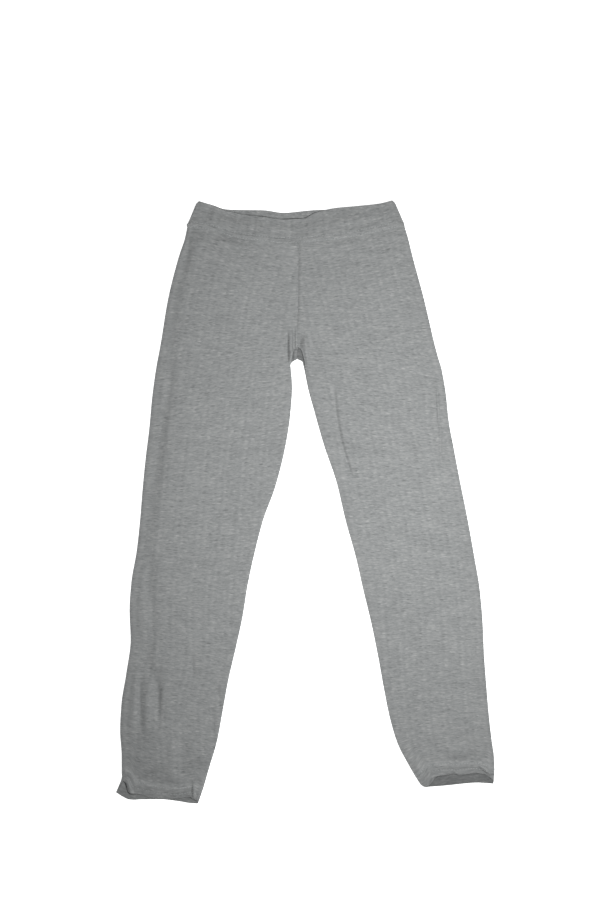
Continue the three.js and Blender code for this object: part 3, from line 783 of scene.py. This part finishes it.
def leg_wall(leg):
    """Outer and inner faces of a leg's wall as grids, with the cloth's own coordinates.

    Columns run from the inseam's back edge over the back, round the outer fold as a half
    circle, over the front, and turn by nearly a quarter circle to meet at the inseam. The
    front turns down from where the fronts part, the back turns up only below the crotch, and
    above that the layers end flat at the centre seams.
    """
    sections = [
        np.linspace(k, k + 1, CLOSE_ROWS.get(k, ROWS_PER_SECTION), endpoint=False)
        for k in range(leg.hem_top)
    ]
    hem = np.linspace(leg.hem_top, leg.last - HEM_LAST, HEM_ROWS)
    rounding = 1 - np.cos(np.linspace(np.pi / 2, 0, EDGE_ROWS))
    edge = leg.last - rounding * leg.hem_wall / 2 / leg.hem_depth
    at = np.concatenate((*sections, hem, edge))[:, None]

    split = smooth((at - INSEAM_ROW) / TURN_ROWS)
    front_split = smooth((at - SPLIT_ROW - SPLIT_START) / TURN_ROWS)
    half_in = leg.lift_at(at, 1.0) / 2
    wall = leg.wall_at(at)
    turn_in = lerp(CENTRE_STOP, half_in + wall / 2, split)
    front_turn_in = lerp(CENTRE_STOP, half_in + wall / 2, front_split)

    steps = np.linspace(0, 1, FRONT_COLUMNS)
    spaced = lerp(steps, 0.5 - 0.5 * np.cos(np.pi * steps), FRONT_CROWDING)[None]
    near, far = BACK_COLUMNS
    inner_steps = np.linspace(1, BACK_SPLIT, near, endpoint=False)
    back_steps = np.concatenate((inner_steps, np.linspace(BACK_SPLIT, 0, far)))[None]
    quarter = np.linspace(0, 1, INSEAM_COLUMNS + 1)[1:]

    def inseam(flat, layer, parts):
        """Quarter turn past the last flat point, towards the other layer."""
        angle = parts[None] * math.radians(INSEAM_TURN)
        flat = flat[:, -1:] if layer > 0 else flat[:, :1]
        turned = front_split if layer > 0 else split
        past = lerp(parts[None] * CENTRE_STOP, half_in * np.sin(angle), turned)
        drop = turned * half_in * (1 - np.cos(angle))
        x = leg.beside_centre(flat[..., 0] - leg.side * past, flat[..., 1])
        z = flat[..., 2] - layer * drop
        points = stacked(x, flat[..., 1], z)
        aside = -leg.side * np.sin(angle) * turned
        up = layer * np.cos(angle * turned)
        out = stacked(aside, 0.0, up)
        return points, out / np.linalg.norm(out, axis=-1, keepdims=True)

    back = leg.lay(at, -1, back_steps, turn_in)
    front = leg.lay(at, 1, spaced, front_turn_in)
    turned = np.linspace(0, 1, TURN_COLUMNS + 2)[1:-1][None]
    low = back[:, -1:]
    high = front[:, :1]
    angle = np.pi * (turned - 0.5)
    radius = (high[..., 2] - low[..., 2]) / 2
    fold = lerp(low, high, turned[..., None])
    fold[..., 0] += leg.side * np.cos(angle) * radius
    fold[..., 2] = low[..., 2] + radius * (1 + np.sin(angle))
    fold_out = stacked(leg.side * np.cos(angle), 0.0, np.sin(angle) + 0 * at)
    under, under_out = inseam(back, -1, quarter[::-1])
    over, over_out = inseam(front, 1, quarter)

    middle = np.concatenate((under, back, fold, front, over), axis=1)
    flat_down = np.broadcast_to([0.0, 0.0, -1.0], back.shape)
    flat_up = np.broadcast_to([0.0, 0.0, 1.0], front.shape)
    out = np.concatenate((under_out, flat_down, fold_out, flat_up, over_out), axis=1)
    half = np.broadcast_to(wall / 2, middle.shape[:2])[..., None]

    steps_along = np.diff(middle, axis=1)
    run = np.cumsum(np.hypot(steps_along[..., 0], steps_along[..., 2]), axis=1)
    u = np.concatenate((np.zeros((len(at), 1)), run), axis=1)
    fold_start = INSEAM_COLUMNS + near + far
    u = u - u[:, fold_start:fold_start + 1]
    mid_y = (leg.section("outer_y", at) + leg.section("inner_y", at)) / 2
    v = np.broadcast_to(mid_y, u.shape)
    return middle + out * half, middle - out * half, u, v


def shell_mesh(name, outer, inner, u, v, flip, materials):
    """Closed mesh between two grids of the same shape, with rims on the four sides.

    The UV map cloth holds the cloth's own coordinates in metres: u along the courses of the
    knit and v down the wales. The inner face takes the second material.
    """
    rows, cols = outer.shape[:2]
    index = np.arange(rows * cols).reshape(rows, cols)
    other = index + rows * cols

    def quads(a, b, c, d):
        faces = stacked(a, b, c, d).reshape(-1, 4)
        return faces[:, ::-1] if flip else faces

    outer_faces = quads(index[:-1, :-1], index[:-1, 1:], index[1:, 1:], index[1:, :-1])
    inner_faces = quads(other[:-1, :-1], other[1:, :-1], other[1:, 1:], other[:-1, 1:])
    rims = np.concatenate((
        quads(index[0, 1:], index[0, :-1], other[0, :-1], other[0, 1:]),
        quads(index[-1, :-1], index[-1, 1:], other[-1, 1:], other[-1, :-1]),
        quads(index[:-1, 0], index[1:, 0], other[1:, 0], other[:-1, 0]),
        quads(index[1:, -1], index[:-1, -1], other[:-1, -1], other[1:, -1]),
    ))
    faces = np.concatenate((outer_faces, inner_faces, rims))
    points = np.concatenate((outer.reshape(-1, 3), inner.reshape(-1, 3))) * MM
    cloth = stacked(u, v).reshape(-1, 2) * MM
    slots = np.zeros(len(faces), np.int32)
    slots[len(outer_faces):len(outer_faces) + len(inner_faces)] = 1
    return mesh_object(name, points, faces, np.concatenate((cloth, cloth)), materials, slots)


def linked(name, data):
    """An object for a mesh, a lamp or a camera, at the origin."""
    made = bpy.data.objects.new(name, data)
    bpy.context.scene.collection.objects.link(made)
    return made


def mesh_object(name, points, faces, cloth, materials, slots):
    """Object of smooth faces that all have as many corners, with the UV map cloth."""
    mesh = bpy.data.meshes.new(name)
    mesh.vertices.add(len(points))
    mesh.vertices.foreach_set("co", points.astype(np.float32).ravel())
    mesh.loops.add(faces.size)
    mesh.loops.foreach_set("vertex_index", faces.astype(np.int32).ravel())
    mesh.polygons.add(len(faces))
    starts = np.arange(0, faces.size, faces.shape[1], dtype=np.int32)
    mesh.polygons.foreach_set("loop_start", starts)
    mesh.polygons.foreach_set("use_smooth", np.ones(len(faces), bool))
    mesh.update(calc_edges=True)
    layer = mesh.uv_layers.new(name="cloth")
    layer.uv.foreach_set("vector", cloth[faces.ravel()].astype(np.float32).ravel())
    for material in materials:
        mesh.materials.append(material)
    mesh.polygons.foreach_set("material_index", slots)
    mesh.validate()
    return linked(name, mesh)


def seam_thinning(along):
    """Share of the casing's wall by the share of its height."""
    return lerp(SEAM_WALL, 1.0, smooth(along / SEAM_WALL_SHARE))


def band_points(face, across, along, out, cloth):
    """Points of the casing on one flat face.

    x runs between the two sides, y between the face's lower and upper edge, and z is the
    middle of that face plus out half walls. The wall is thinner at the seam and at the top
    edge. The front has the gathers, the folds and the seam's relief too, and settles on the
    back towards its top edge, apart from the sides and the places where it gapes.
    """
    wall = cloth.band_wall / MM
    turn = wall + BAND_AIR / 2
    right = lerp(BAND_BOTTOM_X[0], BAND_TOP_X[0], along) + turn
    left = lerp(BAND_BOTTOM_X[1], BAND_TOP_X[1], along) - turn
    x = lerp(right, left, across)
    names = ("front_bottom", "front_top") if face > 0 else ("back_bottom", "back_top")
    y = lerp(band_edge(names[0], across), band_edge(names[1], across), along)
    edge = smooth((along - SETTLE_FROM) / SETTLE_OVER)
    away = out * wall / 2
    if face < 0:
        thin = seam_thinning(along) * lerp(1.0, TOP_WALL_BACK, edge)
        return x, y, wall / 2 - np.where(out > 0, away, away * thin)

    gape = GAPE_SHARE * sum(bell(x - place, GAPE_WIDTH) for place in BAND_GAPES)
    between = smooth(across / SIDE_SHARE) * smooth((1 - across) / SIDE_SHARE)
    settled = SETTLE_DROP * edge * (1 - gape) * between
    thin = seam_thinning(along) * lerp(1.0, lerp(TOP_WALL, GAPE_WALL, gape), edge)
    thin_under = lerp(1.0, TOP_WALL_UNDER, edge * between)
    gathers = columns(GATHER_COLUMNS, GATHERS)
    gap = across[..., None] - gathers["across"]
    waves = (gathers["height"] * bell(gap, gathers["width"])).sum(axis=-1)
    swell = smooth(along / SWELL_LOW) * smooth((1 - along) / SWELL_HIGH + SWELL_AT_TOP)
    seam = waist_seam(x, y - band_edge("front_bottom", across))
    folds = fold_height(WAIST_FOLDS, x, y)
    middle = wall / 2 + wall + BAND_AIR - settled + waves * swell
    return x, y, middle + away * np.where(out > 0, thin, thin_under) + (seam + folds) * (out > 0)


def casing_section():
    """Rounded outline of the casing's wall: along its height and out from its middle."""
    straight = np.linspace(CASING_START, CASING_FLAT, BAND_SECTION_ROWS)
    flat = np.ones(BAND_SECTION_ROWS)
    angle = np.linspace(np.pi / 2, -np.pi / 2, BAND_TOP_ROWS)[1:-1]
    top = CASING_FLAT + CASING_ROUND * np.cos(angle)
    along = np.concatenate((straight, top, straight[::-1], [0.0, 0.0]))
    out = np.concatenate((flat, np.sin(angle), -flat, [-CASING_LOW_OUT, CASING_LOW_OUT]))
    return along, out


def band_wall(cloth):
    """The casing's closed loop: front, left fold, back, right fold, each fold a half circle."""
    along, out = casing_section()
    along = along[None]
    out = out[None]
    wall = cloth.band_wall / MM
    lift = wall + BAND_AIR
    turn = wall + BAND_AIR / 2
    front = np.linspace(0, 1, BAND_FRONT_COLUMNS)[:, None]
    back = np.linspace(1, 0, BAND_BACK_COLUMNS)[:, None]
    turned = np.linspace(0, 1, BAND_TURN_COLUMNS + 2)[1:-1][:, None]

    def side_fold(row, end):
        """Half circle at one side: row is that side's row of the edges, and end its sign."""
        angle = np.pi * (end / 2 - turned)
        hollow = BAND_SIDE_HOLLOW * 4 * along * (1 - along)
        edge = lerp(BAND_BOTTOM_X[row], BAND_TOP_X[row], along) - end * (turn + hollow)
        radius = lift / 2 + out * wall / 2
        height = lift / 2 + out * wall / 2 * seam_thinning(along)
        drop = BAND_CORNER_DROP * np.abs(np.cos(angle)) * along**4
        y = lerp(BAND["front_bottom"][row], BAND["front_top"][row], along) - drop
        z = wall / 2 + lift / 2 + height * np.sin(angle)
        return edge + radius * np.cos(angle), y, z

    stretches = (
        band_points(1, front, along, out, cloth),
        side_fold(-1, 1),
        band_points(-1, back, along, out, cloth),
        side_fold(0, -1),
    )
    return np.concatenate([stacked(*stretch) for stretch in stretches])


def band_mesh(cloth, materials):
    """The casing as one closed mesh; its inner half takes the second material."""
    points = band_wall(cloth)
    around, section = points.shape[:2]
    index = np.arange(around * section).reshape(around, section)
    ahead = np.roll(index, -1, axis=0)
    corners = (index, ahead, np.roll(ahead, -1, axis=1), np.roll(index, -1, axis=1))
    faces = stacked(*corners).reshape(-1, 4)
    along, out = casing_section()
    steps = np.diff(points[:, 0], axis=0)
    u = np.concatenate(([0], np.cumsum(np.linalg.norm(steps[:, :2], axis=-1))))[:, None]
    sides = np.hypot(np.diff(along) * CASING_HEIGHT, np.diff(out) * CASING_HALF_WALL)
    girth = np.concatenate(([0], np.cumsum(sides)))
    cloth_uv = stacked(u, girth[None]).reshape(-1, 2) * MM
    slots = (out[None] + 0 * u < 0).ravel().astype(np.int32)
    points = points.reshape(-1, 3) * MM
    return mesh_object("waistband_casing", points, faces, cloth_uv, materials, slots)


def stitch_shape(length, width, height):
    """One stitch: a faceted ellipsoid, longer than wide, half sunk in the cloth."""
    ring = np.linspace(0, 2 * np.pi, STITCH_SIDES, endpoint=False)
    tilt = np.linspace(-np.pi / 2, np.pi / 2, STITCH_SIDES)[1:-1]
    body = []
    for a in tilt:
        for b in ring:
            x = length / 2 * math.sin(a)
            y = width / 2 * math.cos(a) * math.cos(b)
            z = height * math.cos(a) * math.sin(b)
            body.append((x, y, z))
    points = np.array([*body, (-length / 2, 0, 0), (length / 2, 0, 0)])
    first_tip = len(body)
    last_ring = len(body) - STITCH_SIDES
    rings = []
    tips = []
    for j in range(STITCH_SIDES):
        n = (j + 1) % STITCH_SIDES
        for start in range(0, last_ring, STITCH_SIDES):
            after = start + STITCH_SIDES
            rings.append((start + j, start + n, after + n, after + j))
        tips.append((first_tip, n, j))
        tips.append((first_tip + 1, last_ring + j, last_ring + n))
    return points, rings + tips


def stitch_rows(name, paths, sewing, material):
    """Stitches in a line along each path, one for every stitch length, as one mesh."""
    pitch = sewing.stitch / MM
    shape, template = stitch_shape(pitch * STITCH_COVER, sewing.thread / MM, STITCH_HEIGHT)
    points = []
    for path in paths:
        steps = np.linalg.norm(np.diff(path, axis=0), axis=-1)
        run = np.concatenate(([0], np.cumsum(steps)))
        middles = (np.arange(int(run[-1] // pitch)) + 0.5) * pitch
        behind, centre, ahead = (
            stacked(*[np.interp(places, run, values) for values in path.T])
            for places in (middles - pitch / 3, middles, middles + pitch / 3)
        )
        forward = ahead - behind
        forward /= np.linalg.norm(forward, axis=-1, keepdims=True)
        aside = np.cross([0.0, 0.0, 1.0], forward)
        aside /= np.linalg.norm(aside, axis=-1, keepdims=True)
        up = np.cross(forward, aside)
        placed = centre[:, None]
        for k, direction in enumerate((forward, aside, up)):
            placed = placed + shape[None, :, k:k + 1] * direction[:, None]
        points.append(placed.reshape(-1, 3))
    points = np.concatenate(points)
    mesh = bpy.data.meshes.new(name)
    bases = range(0, len(points), len(shape))
    faces = [tuple(base + k for k in face) for base in bases for face in template]
    mesh.from_pydata((points * MM).tolist(), [], faces)
    mesh.polygons.foreach_set("use_smooth", np.ones(len(mesh.polygons), bool))
    mesh.materials.append(material)
    return linked(name, mesh)


def add(tree, kind, settings=None, links=None):
    """Adds a node: settings are attributes or input values, links go from sockets to inputs."""
    node = tree.nodes.new(kind)
    for key, value in (settings or {}).items():
        if isinstance(key, str) and hasattr(node, key):
            setattr(node, key, value)
        else:
            node.inputs[key].default_value = value
    for key, socket in (links or {}).items():
        tree.links.new(socket, node.inputs[key])
    return node


def empty_material(name):
    """A material without nodes, and its tree."""
    material = bpy.data.materials.new(name)
    material.use_nodes = True
    material.node_tree.nodes.clear()
    return material, material.node_tree


def ramp(tree, value, ends, middle=None):
    """Colours by value: a place, a colour and a shade for each end, and maybe the middle."""
    node = add(tree, "ShaderNodeValToRGB", {}, {"Fac": value})
    elements = node.color_ramp.elements
    for element, (place, colour, shade) in zip(elements, ends):
        element.position = place
        element.color = (*[c * shade for c in colour], 1)
    if middle:
        place, colour, shade = middle
        elements.new(place).color = (*[c * shade for c in colour], 1)
    return node.outputs["Color"]


def marl_jersey(name, cloth, shade, offset):
    """Brushed cotton jersey knitted from a melange of pale and dark grey fibres.

    The fibres lie along the courses, so the marl is short streaks across the leg. The nap
    scatters light, so there is no gloss and only a little sheen.
    """
    material, tree = empty_material(name)
    place = add(tree, "ShaderNodeUVMap", {"uv_map": "cloth"}).outputs["UV"]

    def stretched(length, height, location):
        """The cloth's coordinates, scaled so that one unit is length across and height down."""
        settings = {"Scale": (1 / (length * MM), 1 / (height * MM), 1), "Location": location}
        return add(tree, "ShaderNodeMapping", settings, {"Vector": place}).outputs[0]

    def streaks(length, height, detail, seed):
        vector = stretched(length, height, (offset + seed, seed * 3.7, seed))
        settings = {"Scale": 1.0, "Detail": detail, "Roughness": 0.6}
        return add(tree, "ShaderNodeTexNoise", settings, {"Vector": vector}).outputs["Fac"]

    def mix(a, b, share):
        node = add(tree, "ShaderNodeMix", {"data_type": "FLOAT", 0: share}, {2: a, 3: b})
        return node.outputs[0]

    def flecks(length, height, seed):
        """Tufts of fibre: one short dash in each stretched Voronoi cell, darker or paler."""
        cells = add(
            tree, "ShaderNodeTexVoronoi", {"voronoi_dimensions": "2D", "Scale": 1.0},
            {"Vector": stretched(length, height, (offset + seed, seed * 2.3, 0))},
        )
        inside = add(
            tree, "ShaderNodeMapRange",
            {"From Min": 0.42, "From Max": 0.16, "To Min": 0.0, "To Max": 1.0},
            {"Value": cells.outputs["Distance"]},
        )
        tone = add(tree, "ShaderNodeSeparateColor", {}, {"Color": cells.outputs["Color"]})
        settings = {"operation": "SUBTRACT", 1: 0.5}
        signed = add(tree, "ShaderNodeMath", settings, {0: tone.outputs[0]})
        return add(
            tree, "ShaderNodeMath", {"operation": "MULTIPLY"},
            {0: signed.outputs[0], 1: inside.outputs[0]},
        ).outputs[0]

    short_streaks = streaks(*SHORT_STREAKS)
    grain = mix(streaks(*LONG_STREAKS), short_streaks, SHORT_SHARE)
    grain = mix(grain, streaks(*PATCHES), PATCH_SHARE)
    for length, height, seed, weight in FLECKS:
        tufts = flecks(length, height, seed)
        settings = {"operation": "MULTIPLY_ADD", 1: weight}
        grain = add(tree, "ShaderNodeMath", settings, {0: tufts, 2: grain}).outputs[0]
    colour = ramp(
        tree, grain, ((0.12, cloth.marl_dark, shade), (0.88, cloth.marl_light, shade)),
        (0.5, cloth.marl_mid, shade),
    )

    knit = add(
        tree, "ShaderNodeTexVoronoi",
        {"voronoi_dimensions": "2D", "feature": "SMOOTH_F1", "Scale": 1.0, "Randomness": 0.45,
         "Smoothness": 0.4},
        {"Vector": stretched(*KNIT_LOOP, (0, 0, 0))},
    )
    surface = mix(short_streaks, knit.outputs["Distance"], 0.5)
    bump = add(
        tree, "ShaderNodeBump", {"Strength": 0.5, "Distance": 0.5 * MM}, {"Height": surface}
    )
    shader = add(
        tree, "ShaderNodeBsdfPrincipled",
        {"Roughness": 0.92, "IOR": 1.45, "Specular IOR Level": 0.25, "Sheen Weight": 0.12,
         "Sheen Roughness": 0.6},
        {"Base Color": colour, "Normal": bump.outputs["Normal"]},
    )
    add(tree, "ShaderNodeOutputMaterial", {}, {"Surface": shader.outputs[0]})
    return material


def thread_material(sewing):
    """Spun polyester sewing thread: duller than filament, shaded by its twist."""
    material, tree = empty_material("spun_polyester_thread")
    place = add(tree, "ShaderNodeTexCoord").outputs["Object"]
    settings = {"Scale": 1 / (THREAD_TWIST * MM), "Detail": 2.0}
    twist = add(tree, "ShaderNodeTexNoise", settings, {"Vector": place})
    ends = ((0.3, sewing.colour, 0.8), (0.7, sewing.colour, 1.0))
    shader = add(
        tree, "ShaderNodeBsdfPrincipled", {"Roughness": 0.7, "IOR": 1.5, "Sheen Weight": 0.1},
        {"Base Color": ramp(tree, twist.outputs["Fac"], ends)},
    )
    add(tree, "ShaderNodeOutputMaterial", {}, {"Surface": shader.outputs[0]})
    return material


def leg_cuts(cloth):
    """The two legs by name."""
    return {
        "right": LegCut(RIGHT_SECTIONS, RIGHT_HEM, -1, CORNER["right"], cloth),
        "left": LegCut(LEFT_SECTIONS, LEFT_HEM, 1, CORNER["left"], cloth),
    }


class LEGGINGS_OT_legs(Operator):
    """Makes the two wrapped legs"""

    bl_idname = "leggings.legs"
    bl_label = "Legs"

    def execute(self, context):
        cloth = context.scene.leggings_cloth
        for name, leg in leg_cuts(cloth).items():
            place = MARL_PLACES[name]
            face = marl_jersey(f"marl_jersey_{name}", cloth, 1.0, place)
            # The inner face is the same marl darkened by painted shade, standing in for the shadow
            # inside the hem
            reverse = marl_jersey(
                f"marl_jersey_reverse_painted_shade_{name}", cloth, REVERSE_PAINTED_SHADE[name], place + REVERSE_PLACE
            )
            outer, inner, u, v = leg_wall(leg)
            piece = shell_mesh(
                f"{name}_leg_cloth", outer, inner, u, v, leg.side > 0, [face, reverse]
            )
            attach(piece, "root")
            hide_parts(f"leg_{name}")
        return {"FINISHED"}


class LEGGINGS_OT_waistband(Operator):
    """Makes the elasticated casing"""

    bl_idname = "leggings.waistband"
    bl_label = "Waistband"

    def execute(self, context):
        cloth = context.scene.leggings_cloth
        names = ("casing", "casing_inside")
        materials = [marl_jersey(f"marl_jersey_{k}", cloth, 1.0, MARL_PLACES[k]) for k in names]
        piece = band_mesh(cloth, materials)
        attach(piece, "root")
        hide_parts("waistband")
        return {"FINISHED"}


class LEGGINGS_OT_sewing(Operator):
    """Makes the coverstitch at the waist and the hems"""

    bl_idname = "leggings.sewing"
    bl_label = "Sewing"

    def execute(self, context):
        cloth = context.scene.leggings_cloth
        sewing = context.scene.leggings_sewing
        thread = thread_material(sewing)
        half = sewing.gauge / MM / 2
        legs = leg_cuts(cloth)
        lift = np.array([0, 0, STITCH_LIFT])

        across = np.linspace(*CASING_ROW)
        height = band_edge("front_top", across) - band_edge("front_bottom", across)
        waist = [stacked(*band_points(1, across, half / height, 1.0, cloth)) + lift]
        for leg in legs.values():
            first = leg.rows["outer_y"][0] - leg.rows["outer_y"][1]
            across = np.linspace(*LEG_ROW)
            row = leg.lay(np.full(len(across), half / first), 1, across)
            row[:, 2] += leg.wall / 2
            waist.append(row + lift)
        self.add_rows("waist_coverstitch", waist, sewing, thread, "waistband_jersey")

        hems = []
        for leg in legs.values():
            for up in (half * 2, half * 4):
                across = np.linspace(*HEM_ROW)
                at = np.full(len(across), leg.last - up / leg.hem_depth)
                row = leg.lay(at, 1, across)
                row[:, 2] += leg.wall_at(at) / 2
                hems.append(row + lift)
        self.add_rows("hem_coverstitch", hems, sewing, thread, "leg_jersey")
        return {"FINISHED"}

    def add_rows(self, name, paths, sewing, thread, slot):
        """Makes one piece of stitches along the paths."""
        piece = stitch_rows(name, paths, sewing, thread)
        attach(piece, "root")


class LEGGINGS_OT_stage(Operator):
    """Makes the floor, the lights and the camera"""

    bl_idname = "leggings.stage"
    bl_label = "Stage"

    FRAME_HEIGHT = 1035 * MM  # of the table that the photograph shows
    VIEW_CENTRE = (-5.9 * MM, 59.8 * MM)
    SENSOR = 36.0
    LAMP_SIZE = 200 * MM
    LAMP_PLACE = (153 * MM, 33 * MM, 720 * MM)
    FLOOR_HALF = 4.0
    FLOOR_DROP = 0.2 * MM  # keeps the floor clear of the underside

    def execute(self, context):
        stage = context.scene.leggings_stage
        self.floor(stage)
        self.lights(context, stage)
        self.camera(context, stage)
        return {"FINISHED"}

    def floor(self, stage):
        size = self.FLOOR_HALF
        mesh = bpy.data.meshes.new("floor")
        corners = [(-size, -size, 0), (size, -size, 0), (size, size, 0), (-size, size, 0)]
        mesh.from_pydata(corners, [], [(0, 1, 2, 3)])
        material = bpy.data.materials.new("matt_paper")
        material.use_nodes = True
        shader = material.node_tree.nodes["Principled BSDF"]
        for name, value in (
            ("Base Color", (*stage.floor, 1)),
            ("Roughness", 0.9),
            ("Specular IOR Level", 0.1),
            ("Emission Color", (1, 1, 1, 1)),
            ("Emission Strength", stage.glow),
        ):
            shader.inputs[name].default_value = value
        mesh.materials.append(material)
        floor = linked("floor", mesh)
        floor.location.z = -self.FLOOR_DROP

    def lights(self, context, stage):
        world = bpy.data.worlds.new("dome")
        world.use_nodes = True
        background = world.node_tree.nodes["Background"]
        background.inputs["Color"].default_value = (1, 1, 1, 1)
        background.inputs["Strength"].default_value = stage.dome
        context.scene.world = world
        lamp = bpy.data.lights.new("key", "AREA")
        lamp.shape = "RECTANGLE"
        lamp.size = self.LAMP_SIZE
        lamp.size_y = self.LAMP_SIZE
        lamp.energy = stage.key
        linked("key", lamp).location = self.LAMP_PLACE

    def camera(self, context, stage):
        data = bpy.data.cameras.new("overhead")
        data.lens = stage.lens
        data.sensor_width = self.SENSOR
        data.sensor_fit = "AUTO"
        camera = linked("overhead", data)
        camera.location = (*self.VIEW_CENTRE, self.FRAME_HEIGHT * stage.lens / self.SENSOR)
        context.scene.camera = camera
        context.scene.view_settings.view_transform = "Standard"


class LEGGINGS_PT_panel(Panel):
    """Lists the steps and their sizes"""

    bl_idname = "LEGGINGS_PT_panel"
    bl_label = "Leggings"
    bl_space_type = "VIEW_3D"
    bl_region_type = "UI"
    bl_category = "Leggings"

    def draw(self, context):
        for group in (
            context.scene.leggings_cloth,
            context.scene.leggings_sewing,
            context.scene.leggings_stage,
        ):
            for name in group.bl_rna.properties.keys():
                if name not in ("rna_type", "name"):
                    self.layout.prop(group, name)
        for operator in STEPS:
            self.layout.operator(operator.bl_idname)


GROUPS = {
    "leggings_cloth": LeggingsCloth,
    "leggings_sewing": LeggingsSewing,
    "leggings_stage": LeggingsStage,
}
STEPS = (LEGGINGS_OT_legs, LEGGINGS_OT_waistband, LEGGINGS_OT_sewing, LEGGINGS_OT_stage)


def register():
    for cls in (*GROUPS.values(), *STEPS, LEGGINGS_PT_panel):
        bpy.utils.register_class(cls)
    for name, group in GROUPS.items():
        setattr(bpy.types.Scene, name, PointerProperty(type=group))


def unregister():
    for name in GROUPS:
        delattr(bpy.types.Scene, name)
    for cls in reversed((*GROUPS.values(), *STEPS, LEGGINGS_PT_panel)):
        bpy.utils.unregister_class(cls)


def main():
    register()
    bpy.ops.leggings.legs()
    bpy.ops.leggings.waistband()
    bpy.ops.leggings.sewing()
    bpy.ops.leggings.stage()


if __name__ == "__main__":
    main()
